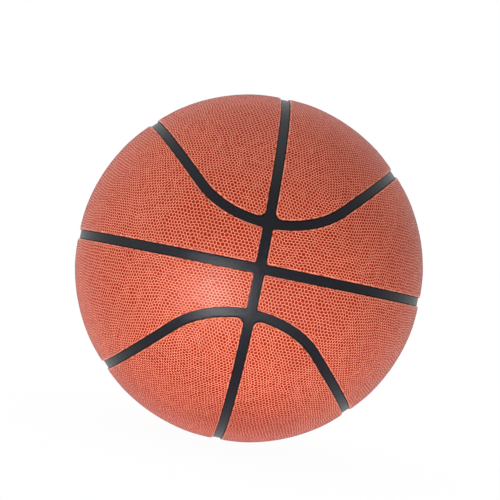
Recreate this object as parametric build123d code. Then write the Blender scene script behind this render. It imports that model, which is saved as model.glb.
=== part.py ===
from build123d import *
import math
import os

# Size 7 basketball: eight cover panels, seated in the pockets of a ribbed rubber carcass.
# The origin is the centre of the ball. The middle seam lies in the XY plane, the top seam in the YZ plane.
# They cross at the front, on -Y, and at the back. The valve is on +Z, in the channel of the top seam.

# Cover panels
ball_diameter = 242.0
panel_thickness = 2.0
channel_width = 6.0
channel_depth = 1.0
oval_end_distance = 28.3  # over the surface, from the crossing of the seams to the end of an oval
oval_side_angle = 45.0  # between the middle seam and the long side of an oval
oval_corner_radius = 4.4
band_corner_radius = 1.5
panel_edge_radius = 0.8

# Layers under the panels, with the ribs of the carcass that are the bottoms of the channels
carcass_wall = 0.8
rib_edge_radius = 0.5
winding_thickness = 0.5
bladder_wall = 0.8

# Valve boss, and the round eyelet that the panels leave for it
eyelet_diameter = 10.0
eyelet_corner_radius = 1.2
boss_neck_diameter = 8.4
boss_flange_diameter = 34.0
boss_flange_thickness = 1.8
boss_flange_edge = 0.5
boss_fillet_radius = 1.6
boss_stem_diameter = 8.0
boss_stem_length = 13.0

# Valve core, gripped in the boss
core_head_diameter = 6.0
core_head_thickness = 1.6
core_shank_diameter = 4.4
core_bulb_diameter = 6.4
core_bulb_rim = 1.2
core_bulb_length = 4.0
core_tip_diameter = 2.8
needle_hole_diameter = 2.0
needle_hole_length = 6.0
needle_lead_diameter = 3.2
needle_lead_depth = 0.6

# Radii of the layers, from the outside in
panel_radius = ball_diameter / 2
rib_radius = panel_radius - channel_depth
seat_radius = panel_radius - panel_thickness
carcass_inner_radius = seat_radius - carcass_wall
winding_inner_radius = carcass_inner_radius - winding_thickness
bladder_inner_radius = winding_inner_radius - bladder_wall

# Angles seen from the centre of the ball, in radians
right_angle = math.pi / 2
half_channel = channel_width / 2 / panel_radius
eyelet_angle = math.asin(eyelet_diameter / 2 / panel_radius)
side_angle = math.radians(oval_side_angle)
oval_end = oval_end_distance / panel_radius
# The round end of an oval is a circle round a point of the top seam that lies this far over the crossing
end_centre = math.atan2(math.sin(oval_end), math.cos(oval_end) - math.sin(side_angle))
end_radius = end_centre - oval_end
# From the crossing to where the round end runs into the long side
end_reach = math.atan(math.tan(end_centre) * math.cos(side_angle))

right = Vector(1, 0, 0)
up = Vector(0, 0, 1)
side_axis = Vector(-math.cos(side_angle), 0, math.sin(side_angle))
side_start = Vector(
    math.sin(end_reach) * math.sin(side_angle),
    -math.cos(end_reach),
    math.sin(end_reach) * math.cos(side_angle),
)
front_axis = Vector(0, -math.cos(end_centre), math.sin(end_centre))
back_axis = Vector(0, math.cos(end_centre), math.sin(end_centre))

# Heights of the valve on +Z
valve_top = math.sqrt(rib_radius**2 - (boss_neck_diameter / 2) ** 2)
head_seat = valve_top - core_head_thickness
stem_bottom = bladder_inner_radius - boss_stem_length


def cone_around(axis, angle):
    # All that lies within an angle of the axis, seen from the centre of the ball
    far = ball_diameter
    edge_across = far * math.sin(angle)
    edge_along = far * math.cos(angle)
    outline = Polyline((0, 0), (edge_across, edge_along), (edge_across, far), (0, far), close=True)
    across = axis.cross(Vector(0, 1, 0).cross(axis))
    section = Plane(origin=(0, 0, 0), x_dir=across, z_dir=across.cross(axis))
    return revolve(section * make_face(outline), Axis((0, 0, 0), axis))


def cover_quarter():
    # The cover above the middle seam and right of the top seam, before its panels are parted
    outline = make_face(
        [
            ThreePointArc((0, -panel_radius), (panel_radius, 0), (0, panel_radius)),
            Line((0, panel_radius), (0, seat_radius)),
            ThreePointArc((0, seat_radius), (seat_radius, 0), (0, -seat_radius)),
            Line((0, -seat_radius), (0, -panel_radius)),
        ]
    )
    return revolve(outline, Axis.Y, -90)


def part_at_oval_ends(cover):
    # Planes through the centre part the stretch along the oval's side from the stretches round its ends
    leaning = side_axis.cross(side_start)
    front_plane = Plane(origin=(0, 0, 0), z_dir=leaning)
    back_plane = Plane(origin=(0, 0, 0), z_dir=(leaning.X, -leaning.Y, leaning.Z))
    front = split(cover, front_plane, Keep.BOTTOM)
    back = split(cover, back_plane, Keep.BOTTOM)
    middle = split(split(cover, front_plane, Keep.TOP), back_plane, Keep.TOP)
    return front, middle, back


def oval_blank(front, middle, back):
    # Half of an oval, inside the near wall of the channel round it
    panel = (
        (middle & cone_around(side_axis, right_angle - half_channel))
        + (front & cone_around(front_axis, end_radius - half_channel))
        + (back & cone_around(back_axis, end_radius - half_channel))
    )
    return panel & cone_around(right, right_angle - half_channel)


def band_blank(front, middle, back):
    # The band between the oval's channel and the middle seam
    panel = (
        (middle - cone_around(side_axis, right_angle + half_channel))
        + (front - cone_around(front_axis, end_radius + half_channel))
        + (back - cone_around(back_axis, end_radius + half_channel))
    )
    panel = panel & cone_around(right, right_angle - half_channel)
    return panel & cone_around(up, right_angle - half_channel)


def round_corners(panel, radius):
    # The corners beside the top seam, away from the eyelet
    corners = [
        edge
        for edge in panel.edges().filter_by(GeomType.LINE)
        if edge.center().X < channel_width and abs(edge.center().Y) > eyelet_diameter
    ]
    return fillet(corners, radius)


def cut_eyelet(panel):
    panel = panel - cone_around(up, eyelet_angle)
    corners = [
        edge
        for edge in panel.edges().filter_by(GeomType.LINE)
        if edge.center().X < channel_width and abs(edge.center().Y) < eyelet_diameter
    ]
    return fillet(corners, eyelet_corner_radius)


def roll_edge(panel):
    # The outer edge of a panel is rolled down all the way round
    outer_face = panel.faces().sort_by(SortBy.AREA)[-1]
    return fillet(outer_face.edges(), panel_edge_radius)


def to_quarter(panel, side, level):
    # Panels are shaped in the upper right quarter and mirrored into the others
    if side == "left":
        panel = mirror(panel, Plane.YZ)
    if level == "lower":
        panel = mirror(panel, Plane.XY)
    return panel


def layer(outer_radius, inner_radius):
    # The poles of the spheres are on the valve's axis and their seam line is under the top seam
    turned = (0, 0, -90)
    return Sphere(outer_radius, rotation=turned) - Sphere(inner_radius, rotation=turned)


def make_carcass(pocket_blanks):
    carcass = layer(rib_radius, carcass_inner_radius)
    for blank in pocket_blanks:
        carcass = carcass - blank
    # The ribs have round shoulders, which leave a thin groove beside every panel
    shoulders = [
        edge
        for edge in carcass.edges()
        if math.isclose((edge @ 0.5).length, rib_radius, rel_tol=1e-6)
        and abs((edge @ 0.5).X) > channel_width / 4
    ]
    return fillet(shoulders, rib_edge_radius)


def make_valve_boss():
    neck = boss_neck_diameter / 2
    flange = boss_flange_diameter / 2
    stem = boss_stem_diameter / 2
    shank = core_shank_diameter / 2
    head = core_head_diameter / 2

    def under_bladder(radius):
        return math.sqrt(bladder_inner_radius**2 - radius**2)

    flange_middle = (neck + flange) / 2
    flange_root = under_bladder(stem) - boss_flange_thickness
    outline = [
        Polyline((head, valve_top), (neck, valve_top), (neck, under_bladder(neck))),
        ThreePointArc(
            (neck, under_bladder(neck)),
            (flange_middle, under_bladder(flange_middle)),
            (flange, under_bladder(flange)),
        ),
        Polyline(
            (flange, under_bladder(flange)),
            (flange, under_bladder(flange) - boss_flange_edge),
            (stem, flange_root),
            (stem, stem_bottom),
            (shank, stem_bottom),
            (shank, head_seat),
            (head, head_seat),
            (head, valve_top),
        ),
    ]
    boss = revolve(Plane.XZ * make_face(outline), Axis.Z)
    roots = [
        edge
        for edge in boss.edges().filter_by(GeomType.CIRCLE)
        if math.isclose(edge.center().Z, flange_root) and math.isclose(edge.radius, stem)
    ]
    return fillet(roots, boss_fillet_radius)


def make_valve_core():
    head = core_head_diameter / 2
    shank = core_shank_diameter / 2
    bulb = core_bulb_diameter / 2
    tip = core_tip_diameter / 2
    needle = needle_hole_diameter / 2
    lead = needle_lead_diameter / 2
    hole_mouth = valve_top - needle_lead_depth
    hole_bottom = hole_mouth - needle_hole_length
    core_bottom = stem_bottom - core_bulb_length
    outline = Polyline(
        (lead, valve_top),
        (head, valve_top),
        (head, head_seat),
        (shank, head_seat),
        (shank, stem_bottom),
        (bulb, stem_bottom),
        (bulb, stem_bottom - core_bulb_rim),
        (tip, core_bottom),
        (0, core_bottom),
        (0, hole_bottom),
        (needle, hole_bottom),
        (needle, hole_mouth),
        close=True,
    )
    return revolve(Plane.XZ * make_face(outline), Axis.Z)


sectors = part_at_oval_ends(cover_quarter())
plain_oval = round_corners(oval_blank(*sectors), oval_corner_radius)
eyelet_oval = cut_eyelet(plain_oval)
band = round_corners(band_blank(*sectors), band_corner_radius)

nodes = {}
blanks = []
for name, levels, blank in (
    ("oval_panel", ["upper"], eyelet_oval),
    ("oval_panel", ["lower"], plain_oval),
    ("band_panel", ["upper", "lower"], band),
):
    panel = roll_edge(blank)
    for level in levels:
        for side in ("right", "left"):
            blanks.append(to_quarter(blank, side, level))
            nodes[f"{level}_{side}_{name}"] = to_quarter(panel, side, level)

valve_hole = cone_around(up, right_angle) & Cylinder(boss_neck_diameter / 2, 2 * ball_diameter)
nodes["carcass"] = make_carcass(blanks) - valve_hole
nodes["winding"] = layer(carcass_inner_radius, winding_inner_radius) - valve_hole
nodes["bladder"] = layer(winding_inner_radius, bladder_inner_radius) - valve_hole
nodes["valve_boss"] = make_valve_boss()
nodes["valve_core"] = make_valve_core()

os.makedirs("parts", exist_ok=True)
for name, solid in nodes.items():
    export_step(solid, f"parts/{name}.step")
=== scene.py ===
import math

import bpy
import numpy as np
from mathutils import Matrix, Vector
from mathutils.kdtree import KDTree


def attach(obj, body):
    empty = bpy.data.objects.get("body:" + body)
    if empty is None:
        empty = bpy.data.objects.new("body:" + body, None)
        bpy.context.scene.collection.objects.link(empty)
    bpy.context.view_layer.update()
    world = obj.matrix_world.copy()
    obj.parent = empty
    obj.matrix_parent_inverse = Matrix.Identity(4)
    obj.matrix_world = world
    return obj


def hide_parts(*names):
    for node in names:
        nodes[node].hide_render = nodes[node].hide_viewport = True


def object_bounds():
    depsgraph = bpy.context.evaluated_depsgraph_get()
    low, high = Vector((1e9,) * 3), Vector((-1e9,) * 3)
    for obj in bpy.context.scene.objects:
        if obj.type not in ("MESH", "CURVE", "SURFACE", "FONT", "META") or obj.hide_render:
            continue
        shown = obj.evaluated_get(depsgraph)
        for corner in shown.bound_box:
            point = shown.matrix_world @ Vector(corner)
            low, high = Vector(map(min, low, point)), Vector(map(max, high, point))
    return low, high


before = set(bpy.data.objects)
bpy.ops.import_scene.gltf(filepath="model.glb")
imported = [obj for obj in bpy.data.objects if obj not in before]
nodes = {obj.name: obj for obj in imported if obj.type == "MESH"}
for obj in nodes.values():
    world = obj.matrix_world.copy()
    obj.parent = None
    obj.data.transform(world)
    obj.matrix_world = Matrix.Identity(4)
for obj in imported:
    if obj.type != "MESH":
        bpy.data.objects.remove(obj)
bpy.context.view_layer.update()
print("frame loaded,", len(nodes), "nodes")


def readPoints(mesh):
    points = np.zeros(len(mesh.vertices) * 3)
    mesh.vertices.foreach_get("co", points)
    return points.reshape(-1, 3)


def writePoints(mesh, points):
    mesh.vertices.foreach_set("co", np.ascontiguousarray(points, dtype=np.float32).ravel())
    mesh.update()


def readReach(mesh):
    # How far every point lies from the centre of the ball
    return np.linalg.norm(readPoints(mesh), axis=1)


def pullToRadius(mesh, radius):
    points = readPoints(mesh)
    writePoints(mesh, points * (radius / np.linalg.norm(points, axis=1))[:, None])


coverRadius = readReach(nodes["upper_right_band_panel"].data).max()  # outside of the panels
ribRadius = readReach(nodes["carcass"].data).max()  # bottom of the channels
print("cover", round(coverRadius, 5), "ribs", round(ribRadius, 5))


def pickOnly(piece):
    bpy.ops.object.select_all(action="DESELECT")
    piece.select_set(True)
    bpy.context.view_layer.objects.active = piece


def applyModifiers(piece):
    pickOnly(piece)
    for modifier in list(piece.modifiers):
        bpy.ops.object.modifier_apply(modifier=modifier.name)


def smoothRamp(value, low, high):
    share = np.clip((value - low) / (high - low), 0, 1)
    return share * share * (3 - 2 * share)


# Cover panels: every cell of a scattered ball becomes one raised pebble
coverPebbles = {
    "startLevel": 2,          # level of the ico sphere that the cells start from
    "steps": [(16, 0.0010, 11), (1, 0.0006, 12)],  # cuts, scatter and seed: ends 2.1 mm apart
    "evenShare": 0.1,         # 0 scatters by uneven lengths, 1 by one length
    "cellLift": 0.00002,      # the cells are cut this far over the rolled rims, to tell them apart
    "leastLift": 0.00001,     # and stay at least this far over them
    "slack": 0.000005,
    "weldGap": 0.000002,
    "cutterReach": 0.130,
    "rimStep": 0.0003,        # between the points along a rim that distances are measured from
    "valleyHalf": 0.00012,    # flat ground between the feet of two pebbles
    "shoulder": 0.00036,
    "height": 0.00013,
    "shoulderRise": 0.8,      # shares of the height: up the shoulder, and from there to the middle
    "topRise": 0.2,
    "sunkShare": 0.4,         # share of the height that all of a cell sinks, away from the rims
    "fullHalf": 0.0007,       # half width of a cell from which its pebble is full
    "smallestHalf": 0.00035,  # cells that are cut narrower than this stay flat
    "kindScales": {1: 0.5, 2: 1.0},  # size of the steps on narrow and on full cells
    "crown": 0.00035,         # the middle of a panel stands this much prouder than its edges
    "crownReach": 0.018,
    "fadeStart": 0.0002,      # distances from the rim over which the pebbles rise to their height
    "fadeEnd": 0.0016,
    "smoothAngle": 40,
}


def turnIntoCells(piece):
    # The dual of the triangles is a net of mostly six-sided cells
    cellTree = bpy.data.node_groups.new("pebbleCells", "GeometryNodeTree")
    cellTree.interface.new_socket("Geometry", in_out="INPUT", socket_type="NodeSocketGeometry")
    cellTree.interface.new_socket("Geometry", in_out="OUTPUT", socket_type="NodeSocketGeometry")
    groupIn = cellTree.nodes.new("NodeGroupInput")
    groupOut = cellTree.nodes.new("NodeGroupOutput")
    dual = cellTree.nodes.new("GeometryNodeDualMesh")
    cellTree.links.new(groupIn.outputs[0], dual.inputs[0])
    cellTree.links.new(dual.outputs[0], groupOut.inputs[0])
    cells = piece.modifiers.new("cells", "NODES")
    cells.node_group = cellTree
    applyModifiers(piece)


def makePebbleBall():
    bpy.ops.object.select_all(action="DESELECT")
    bpy.ops.mesh.primitive_ico_sphere_add(subdivisions=coverPebbles["startLevel"], radius=coverRadius)
    pebbleBall = bpy.context.object
    pebbleBall.name = "pebbleBall"
    for cuts, scatter, seed in coverPebbles["steps"]:
        bpy.ops.object.mode_set(mode="EDIT")
        bpy.ops.mesh.select_all(action="SELECT")
        bpy.ops.mesh.subdivide(number_cuts=cuts)
        bpy.ops.object.mode_set(mode="OBJECT")
        pullToRadius(pebbleBall.data, coverRadius)
        bpy.ops.object.mode_set(mode="EDIT")
        bpy.ops.mesh.select_all(action="SELECT")
        bpy.ops.transform.vertex_random(
            offset=scatter, uniform=coverPebbles["evenShare"], normal=0.0, seed=seed
        )
        bpy.ops.object.mode_set(mode="OBJECT")
        pullToRadius(pebbleBall.data, coverRadius)
    turnIntoCells(pebbleBall)
    pullToRadius(pebbleBall.data, coverRadius + coverPebbles["cellLift"])
    return pebbleBall


def makePanelCutter(name):
    # A copy of the panel with its outer side drawn out past the ball, so that its rolled rim stays
    cutter = bpy.data.objects.new(name + "_cutter", nodes[name].data.copy())
    bpy.context.scene.collection.objects.link(cutter)
    pickOnly(cutter)
    bpy.ops.object.mode_set(mode="EDIT")
    bpy.ops.mesh.select_all(action="SELECT")
    bpy.ops.mesh.remove_doubles(threshold=coverPebbles["weldGap"])
    bpy.ops.mesh.select_all(action="DESELECT")
    bpy.ops.object.mode_set(mode="OBJECT")
    onOuterSide = readReach(cutter.data) > coverRadius - coverPebbles["slack"]
    for face in cutter.data.polygons:
        face.select = all(onOuterSide[corner] for corner in face.vertices)
    bpy.ops.object.mode_set(mode="EDIT")
    bpy.ops.mesh.select_mode(type="FACE")
    bpy.ops.mesh.extrude_region()
    stretch = coverPebbles["cutterReach"] / coverRadius
    bpy.ops.transform.resize(value=(stretch, stretch, stretch), center_override=(0, 0, 0))
    bpy.ops.object.mode_set(mode="OBJECT")
    return cutter


def panelName(panel):
    middle = readPoints(panel.data).mean(axis=0)
    level = "upper" if middle[2] > 0 else "lower"
    side = "right" if middle[0] > 0 else "left"
    form = "oval" if abs(middle[2]) > abs(middle[0]) else "band"
    return f"{level}_{side}_{form}_panel"


def cutPanels(pebbleBall, panelNames):
    # All panels are cut at once, so the cells run on from one to the next
    cutters = [makePanelCutter(name) for name in panelNames]
    bpy.ops.object.select_all(action="DESELECT")
    for cutter in cutters:
        cutter.select_set(True)
    cutter = cutters[0]
    bpy.context.view_layer.objects.active = cutter
    bpy.ops.object.join()
    print("cutters joined,", len(cutter.data.polygons), "faces")
    outline = pebbleBall.modifiers.new("outline", "BOOLEAN")
    outline.operation = "INTERSECT"
    outline.solver = "EXACT"
    outline.object = cutter
    applyModifiers(pebbleBall)
    bpy.data.objects.remove(cutter)
    print("cover cut,", len(pebbleBall.data.polygons), "faces")
    bpy.ops.object.mode_set(mode="EDIT")
    bpy.ops.mesh.select_all(action="SELECT")
    bpy.ops.mesh.separate(type="LOOSE")
    bpy.ops.object.mode_set(mode="OBJECT")
    return {panelName(panel): panel for panel in list(bpy.context.selected_objects)}


pebbleBall = makePebbleBall()
print("pebble cells,", len(pebbleBall.data.polygons))
panels = cutPanels(pebbleBall, [name for name in nodes if name.endswith("_panel")])
print("panels,", {name: len(panel.data.polygons) for name, panel in panels.items()})


def pointsOutside(mesh):
    # The cells lie a hair over the rolled rim, so their reach tells them from it
    return readReach(mesh) > coverRadius + coverPebbles["leastLift"]


def rimTree(mesh):
    # Points along the edge between the cells and the rolled rim, close enough to measure from
    outside = pointsOutside(mesh)
    edgeSides = {}
    for face in mesh.polygons:
        inCells = all(outside[corner] for corner in face.vertices)
        for key in face.edge_keys:
            edgeSides.setdefault(key, set()).add(inCells)
    points = readPoints(mesh)
    samples = []
    for (start, end), sides in edgeSides.items():
        if len(sides) == 2:
            along = points[end] - points[start]
            steps = 1 + int(np.linalg.norm(along) / coverPebbles["rimStep"])
            for step in range(steps):
                samples.append(points[start] + along * (step / steps))
    tree = KDTree(len(samples))
    for index, sample in enumerate(samples):
        tree.insert(sample, index)
    tree.balance()
    return tree


def halfWidths(mesh):
    # Half the width of each face, about the radius of the circle that fits in it
    points = readPoints(mesh)
    widths = np.zeros(len(mesh.polygons))
    for face in mesh.polygons:
        around = sum(np.linalg.norm(points[end] - points[start]) for start, end in face.edge_keys)
        widths[face.index] = 2 * face.area / around
    return widths


def sortCells(mesh):
    # 2 for a cell with room for a full pebble, 1 for a narrow one at the rim, 0 for all other faces
    outside = pointsOutside(mesh)
    widths = halfWidths(mesh)
    kinds = np.zeros(len(mesh.polygons), dtype=np.int32)
    for face in mesh.polygons:
        if all(outside[corner] for corner in face.vertices):
            kinds[face.index] = int(widths[face.index] > coverPebbles["smallestHalf"])
            kinds[face.index] += int(widths[face.index] > coverPebbles["fullHalf"])
    mesh.attributes.new("cellKind", "INT", "FACE").data.foreach_set("value", kinds)


def insetPebbles(mesh, kind, scale):
    # Ground, shoulder and top of the cells of a kind
    kinds = mesh.attributes["cellKind"].data
    for face in mesh.polygons:
        face.select = kinds[face.index].value == kind
    height = scale * coverPebbles["height"]
    bpy.ops.object.mode_set(mode="EDIT")
    bpy.ops.mesh.select_mode(type="FACE")
    bpy.ops.mesh.inset(
        thickness=scale * coverPebbles["valleyHalf"], use_even_offset=False, use_individual=True
    )
    bpy.ops.mesh.inset(
        thickness=scale * coverPebbles["shoulder"], depth=coverPebbles["shoulderRise"] * height,
        use_even_offset=False, use_individual=True,
    )
    bpy.ops.mesh.poke(offset=coverPebbles["topRise"] * height)
    bpy.ops.object.mode_set(mode="OBJECT")
    # The tops are marked for the material
    tops = mesh.attributes.get("pebble") or mesh.attributes.new("pebble", "FLOAT", "POINT")
    marks = np.zeros(len(mesh.vertices), dtype=np.float32)
    tops.data.foreach_get("value", marks)
    for face in mesh.polygons:
        if face.select:
            marks[list(face.vertices)] = 1
    tops.data.foreach_set("value", marks)


def raisePebbles(panel):
    mesh = panel.data
    rim = rimTree(mesh)
    sortCells(mesh)
    pickOnly(panel)
    for kind, scale in coverPebbles["kindScales"].items():
        insetPebbles(mesh, kind, scale)
    # Relief and crown both run out towards the rim
    points = readPoints(mesh)
    reach = np.linalg.norm(points, axis=1)
    onCells = reach > coverRadius + coverPebbles["slack"]
    cellPoints = np.nonzero(onCells)[0]
    away = np.array([rim.find(points[index])[2] for index in cellPoints])
    relief = reach[cellPoints] - coverRadius
    fade = smoothRamp(away, coverPebbles["fadeStart"], coverPebbles["fadeEnd"])
    rise = coverPebbles["crown"] * smoothRamp(away, 0, coverPebbles["crownReach"])
    sunk = coverPebbles["sunkShare"] * coverPebbles["height"] * fade
    newReach = coverRadius + coverPebbles["leastLift"] + rise + relief * fade - sunk
    points[cellPoints] *= (newReach / reach[cellPoints])[:, None]
    writePoints(mesh, points)
    rimMarks = mesh.attributes.new("rim", "FLOAT", "POINT")
    rimMarks.data.foreach_set("value", (~onCells).astype(np.float32))
    mesh.attributes.remove(mesh.attributes["cellKind"])


for name, panel in panels.items():
    raisePebbles(panel)
    panel.name = name.replace("_panel", "_cover")
    panel.data.name = panel.name
    bpy.ops.object.shade_smooth_by_angle(angle=math.radians(coverPebbles["smoothAngle"]))
    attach(panel, "root")
    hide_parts(name)
    triangles = sum(len(face.vertices) - 2 for face in panel.data.polygons)
    print(panel.name, triangles, "triangles")


def newMaterial(name):
    material = bpy.data.materials.new(name)
    material.use_nodes = True
    tree = material.node_tree
    shader = tree.nodes["Principled BSDF"]
    return material, tree, shader


def addNode(tree, kind, inputs=None, **settings):
    node = tree.nodes.new(kind)
    for key, value in settings.items():
        setattr(node, key, value)
    for key, value in (inputs or {}).items():
        if isinstance(value, bpy.types.NodeSocket):
            tree.links.new(value, node.inputs[key])
        else:
            node.inputs[key].default_value = value
    return node


noiseSpan = (0.3, 0.7)  # most of a noise texture lies between these


def addNoise(tree, place, scale, detail):
    inputs = {"Vector": place, "Scale": scale, "Detail": detail}
    return addNode(tree, "ShaderNodeTexNoise", inputs).outputs["Fac"]


def addRange(tree, value, span, results=(0.0, 1.0), kind="LINEAR"):
    inputs = {0: value, 1: span[0], 2: span[1], 3: results[0], 4: results[1]}
    return addNode(tree, "ShaderNodeMapRange", inputs, interpolation_type=kind).outputs[0]


def addBlend(tree, share, first, second):
    return addNode(tree, "ShaderNodeMix", {0: share, 6: first, 7: second}, data_type="RGBA").outputs[2]


def addMath(tree, operation, first, second):
    return addNode(tree, "ShaderNodeMath", {0: first, 1: second}, operation=operation).outputs[0]


def addReach(tree, place):
    return addNode(tree, "ShaderNodeVectorMath", {0: place}, operation="LENGTH").outputs["Value"]


def setSurface(tree, shader, colour, rough, height, look):
    inputs = {"Height": height, "Strength": look["bump"], "Distance": look["bumpDepth"]}
    bump = addNode(tree, "ShaderNodeBump", inputs).outputs[0]
    tree.links.new(colour, shader.inputs["Base Color"])
    tree.links.new(rough, shader.inputs["Roughness"])
    tree.links.new(bump, shader.inputs["Normal"])


def srgb(red, green, blue):
    def linear(value):
        value /= 255
        return value / 12.92 if value <= 0.04045 else ((value + 0.055) / 1.055) ** 2.4
    return linear(red), linear(green), linear(blue), 1.0


# Composite leather: dark pebble tops over paler ground
leatherLook = {
    "ground": srgb(255, 159, 130),
    "top": srgb(160, 36, 9),
    "topSpan": (0.0, 0.5),         # of the mark on the tops, which runs out over the shoulders
    "edge": srgb(18, 10, 9),       # painted shade on the cut side of the panel, down in the channel
    "edgeDepth": 0.0002,           # from the outside of the panel down to where the cut side begins
    "edgeSoft": 0.00025,
    "rimDots": 470.0,              # printed pebbles that run on over the rolled rim
    "dotSpan": (0.6, 0.25),        # from the outside of a printed pebble in to its middle
    "dotShares": (0.35, 0.95),
    "drift": 22.0,                 # slow change of brightness over a panel
    "driftDetail": 3.0,
    "driftShares": (0.94, 1.06),
    "grain": 2600.0,
    "grainDetail": 2.0,
    "roughness": (0.31, 0.39),
    "bump": 0.25,
    "bumpDepth": 0.0001,
    "specular": 0.09,
    "sheen": 0.22,
    "sheenTint": srgb(255, 214, 200),
    "sheenRoughness": 0.2,
}


def makeLeather():
    material, tree, shader = newMaterial("pebbledLeather")
    place = addNode(tree, "ShaderNodeTexCoord").outputs["Object"]
    pebble = addNode(tree, "ShaderNodeAttribute", attribute_name="pebble").outputs["Fac"]
    raised = addRange(tree, pebble, leatherLook["topSpan"], kind="SMOOTHSTEP")
    dotInputs = {"Vector": place, "Scale": leatherLook["rimDots"]}
    dots = addNode(tree, "ShaderNodeTexVoronoi", dotInputs).outputs["Distance"]
    printed = addRange(tree, dots, leatherLook["dotSpan"], leatherLook["dotShares"], "SMOOTHSTEP")
    rim = addNode(tree, "ShaderNodeAttribute", attribute_name="rim").outputs["Fac"]
    topShare = addNode(tree, "ShaderNodeMix", {0: rim, 2: raised, 3: printed}).outputs[0]
    colour = addBlend(tree, topShare, leatherLook["ground"], leatherLook["top"])
    drift = addNoise(tree, place, leatherLook["drift"], leatherLook["driftDetail"])
    shade = addRange(tree, drift, noiseSpan, leatherLook["driftShares"])
    varied = addNode(tree, "ShaderNodeHueSaturation", {"Color": colour, "Value": shade}).outputs["Color"]
    # Painted shade: below the outside of the panel the leather turns near-black, down the cut side into
    # the channel
    high = coverRadius - leatherLook["edgeDepth"]
    edgeSpan = (high - leatherLook["edgeSoft"], high)
    outOfChannel = addRange(tree, addReach(tree, place), edgeSpan, kind="SMOOTHSTEP")
    whole = addBlend(tree, outOfChannel, leatherLook["edge"], varied)
    grain = addNoise(tree, place, leatherLook["grain"], leatherLook["grainDetail"])
    rough = addRange(tree, grain, noiseSpan, leatherLook["roughness"])
    setSurface(tree, shader, whole, rough, grain, leatherLook)
    shader.inputs["Specular IOR Level"].default_value = leatherLook["specular"]
    shader.inputs["Sheen Weight"].default_value = leatherLook["sheen"]
    shader.inputs["Sheen Tint"].default_value = leatherLook["sheenTint"]
    shader.inputs["Sheen Roughness"].default_value = leatherLook["sheenRoughness"]
    return material


# Black rubber of the carcass, whose ribs show in the channels, and of the bladder and the valve
rubberFinish = {
    "grainDetail": 4.0,
    "roughness": (0.3, 0.42),
    "bump": 0.5,
    "bumpDepth": 0.0003,
}
channelLook = {
    "dark": srgb(8, 9, 12),
    "pale": srgb(20, 22, 33),
    "grain": 900.0,
    "specular": 0.17,
    "groove": srgb(3, 3, 4),       # painted shade in the thin groove between the rib and the panel
    "grooveDepth": 0.00003,
    "grooveSoft": 0.00015,
}
bladderLook = {
    "dark": srgb(22, 22, 24),
    "pale": srgb(34, 33, 34),
    "grain": 240.0,
    "specular": 0.3,
}
valveLook = {
    "dark": srgb(18, 18, 20),
    "pale": srgb(30, 30, 32),
    "grain": 1500.0,
    "specular": 0.3,
}


def makeRubber(name, look):
    material, tree, shader = newMaterial(name)
    place = addNode(tree, "ShaderNodeTexCoord").outputs["Object"]
    grain = addNoise(tree, place, look["grain"], rubberFinish["grainDetail"])
    colour = addBlend(tree, addRange(tree, grain, noiseSpan), look["dark"], look["pale"])
    # Painted shade: the rubber turns near-black below the top of the rib, in the groove beside the panel
    if "groove" in look:
        high = ribRadius - look["grooveDepth"]
        grooveSpan = (high - look["grooveSoft"], high)
        onRib = addRange(tree, addReach(tree, place), grooveSpan, kind="SMOOTHSTEP")
        colour = addBlend(tree, onRib, look["groove"], colour)
    rough = addRange(tree, grain, noiseSpan, rubberFinish["roughness"])
    setSurface(tree, shader, colour, rough, grain, rubberFinish)
    shader.inputs["Specular IOR Level"].default_value = look["specular"]
    return material


# Nylon thread of the winding, laid in three directions
threadLook = {
    "dark": srgb(176, 168, 150),
    "pale": srgb(232, 227, 214),
    "bands": 390.0,                # threads lie 0.8 mm apart
    "distortion": 1.5,
    "turns": [(0.0, 0.0, 0.3), (0.9, 0.4, 1.3), (0.3, 1.1, 2.2)],
    "roughness": (0.75, 0.5),
    "bump": 0.6,
    "bumpDepth": 0.0003,
}


def makeThread():
    material, tree, shader = newMaterial("windingThread")
    place = addNode(tree, "ShaderNodeTexCoord").outputs["Object"]
    laid = None
    for turn in threadLook["turns"]:
        turned = addNode(tree, "ShaderNodeMapping", {"Vector": place, "Rotation": turn}).outputs[0]
        inputs = {
            "Vector": turned,
            "Scale": threadLook["bands"],
            "Distortion": threadLook["distortion"],
        }
        band = addNode(tree, "ShaderNodeTexWave", inputs).outputs["Fac"]
        laid = band if laid is None else addMath(tree, "MAXIMUM", laid, band)
    colour = addBlend(tree, laid, threadLook["dark"], threadLook["pale"])
    rough = addRange(tree, laid, (0.0, 1.0), threadLook["roughness"])
    setSurface(tree, shader, colour, rough, laid, threadLook)
    return material


def paint(piece, material):
    piece.data.materials.clear()
    piece.data.materials.append(material)


leather = makeLeather()
valveRubber = makeRubber("valveRubber", valveLook)
finishes = {
    "carcass": makeRubber("channelRubber", channelLook),
    "winding": makeThread(),
    "bladder": makeRubber("bladderRubber", bladderLook),
    "valve_boss": valveRubber,
    "valve_core": valveRubber,
}
for name, node in nodes.items():
    paint(node, finishes.get(name, leather))
for panel in panels.values():
    paint(panel, leather)
print("materials set")


# White stage: the floor is a light table
stageLook = {
    "floorSize": 6.0,
    "floorColour": (0.94, 0.94, 0.94, 1.0),
    "floorRoughness": 0.9,
    "floorGlow": 0.97,             # share of plain white that the camera sees, the rest takes the shadow
    "shadowReach": (0.05, 0.3),    # over these distances from the ball the floor turns to plain white
    "white": (1.0, 1.0, 1.0, 1.0),
    "worldLight": 0.48,
}


def seenDirectly(tree):
    # 1 for rays that show the stage itself, 0 for those that carry its light to the ball
    path = addNode(tree, "ShaderNodeLightPath").outputs
    seen = path["Is Camera Ray"]
    for ray in ("Is Glossy Ray", "Is Transmission Ray"):
        seen = addMath(tree, "MAXIMUM", seen, path[ray])
    return seen


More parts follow.
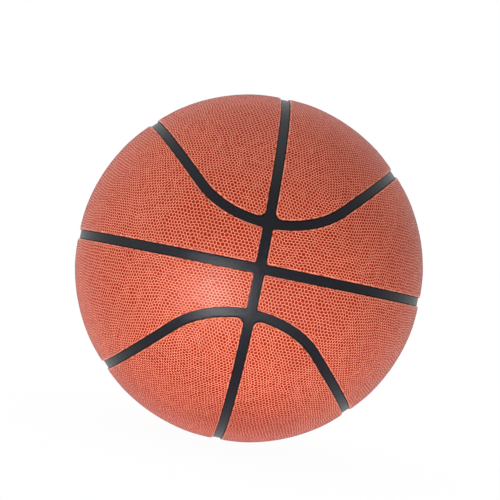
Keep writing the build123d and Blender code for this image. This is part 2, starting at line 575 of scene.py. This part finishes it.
def makeFloor():
    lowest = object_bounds()[0][2]
    bpy.ops.object.select_all(action="DESELECT")
    bpy.ops.mesh.primitive_plane_add(size=stageLook["floorSize"], location=(0, 0, lowest))
    floor = bpy.context.object
    floor.name = "floor"
    material, tree, shader = newMaterial("floorWhite")
    shader.inputs["Base Color"].default_value = stageLook["floorColour"]
    shader.inputs["Roughness"].default_value = stageLook["floorRoughness"]
    white = addNode(tree, "ShaderNodeEmission", {"Color": stageLook["white"], "Strength": 1.0}).outputs[0]
    place = addNode(tree, "ShaderNodeTexCoord").outputs["Object"]
    glow = addRange(
        tree, addReach(tree, place), stageLook["shadowReach"], (stageLook["floorGlow"], 1.0)
    )
    share = addMath(tree, "MULTIPLY", seenDirectly(tree), glow)
    mixed = addNode(tree, "ShaderNodeMixShader", {0: share, 1: shader.outputs[0], 2: white}).outputs[0]
    tree.links.new(mixed, tree.nodes["Material Output"].inputs["Surface"])
    paint(floor, material)
    floor.visible_shadow = False  # the lamp below it shines through


def makeWorld():
    world = bpy.data.worlds.new("studio")
    bpy.context.scene.world = world
    world.use_nodes = True
    tree = world.node_tree
    background = tree.nodes["Background"]
    strength = addRange(tree, seenDirectly(tree), (0.0, 1.0), (stageLook["worldLight"], 1.0))
    background.inputs["Color"].default_value = stageLook["white"]
    tree.links.new(strength, background.inputs["Strength"])


# Camera of the photograph: turned round the ball's centre, angles in degrees
cameraSeat = {
    "distance": 0.789,
    "azimuth": -3.17,
    "elevation": -0.54,
    "roll": -11.41,
    "lens": 80.45,
    "sensor": 36.0,
    "shiftX": 0.0022,
    "shiftY": 0.0368,
    "clipStart": 0.01,
}


def makeCamera():
    azimuth = math.radians(cameraSeat["azimuth"])
    elevation = math.radians(cameraSeat["elevation"])
    turn = Matrix.Rotation(azimuth, 3, "Z") @ Matrix.Rotation(-elevation, 3, "X")
    turn = turn @ Matrix.Rotation(math.radians(cameraSeat["roll"]), 3, "Y")
    data = bpy.data.cameras.new("photoCamera")
    camera = bpy.data.objects.new("photoCamera", data)
    bpy.context.scene.collection.objects.link(camera)
    camera.location = turn @ Vector((0, -cameraSeat["distance"], 0))
    camera.rotation_euler = (turn @ Matrix.Rotation(math.radians(90), 3, "X")).to_euler()
    data.lens = cameraSeat["lens"]
    data.sensor_width = cameraSeat["sensor"]
    data.shift_x = cameraSeat["shiftX"]
    data.shift_y = cameraSeat["shiftY"]
    data.clip_start = cameraSeat["clipStart"]
    bpy.context.scene.camera = camera


# Lamps: gleam shows only as a highlight, soft only as soft light
lamps = {
    "gleamLamp": {
        "place": (-0.115, -0.32, -0.094), "size": (0.09, 0.05), "power": 0.06,
        "aim": (-0.025, -0.117, -0.019), "beam": 30.0, "gleam": True,
    },
    "lowFrontLamp": {"place": (0.0, -0.36, -0.095), "size": (0.5, 0.05), "power": 0.22},
    "floorLamp": {"place": (0.0, -0.26, -0.105), "size": (0.45, 0.03), "power": 0.14},
    "tableLamp": {"place": (0.0, 0.0, -0.75), "size": (1.2, 1.2), "power": 7.0, "soft": True},
    "leftLamp": {"place": (-0.85, -0.3, 0.25), "size": (0.6, 0.5), "power": 1.7},
    "topLamp": {"place": (-0.15, -0.2, 0.85), "size": (0.8, 0.8), "power": 1.9},
    "backLamp": {"place": (0.1, 0.62, 0.2), "size": (0.7, 0.3), "power": 2.2, "soft": True},
}


def makeLamp(name, look):
    place = Vector(look["place"])
    away = place - Vector(look.get("aim", (0, 0, 0)))
    data = bpy.data.lights.new(name, "AREA")
    lamp = bpy.data.objects.new(name, data)
    bpy.context.scene.collection.objects.link(lamp)
    lamp.location = place
    lamp.rotation_euler = away.to_track_quat("Z", "Y").to_euler()
    data.shape = "RECTANGLE"
    data.size, data.size_y = look["size"]
    data.energy = look["power"]
    data.spread = math.radians(look.get("beam", 180.0))
    lamp.visible_camera = False
    lamp.visible_diffuse = not look.get("gleam", False)
    lamp.visible_glossy = not look.get("soft", False)


makeFloor()
makeWorld()
makeCamera()
for lampName, lampLook in lamps.items():
    makeLamp(lampName, lampLook)
bpy.context.scene.view_settings.view_transform = "Standard"

print("scene finished")
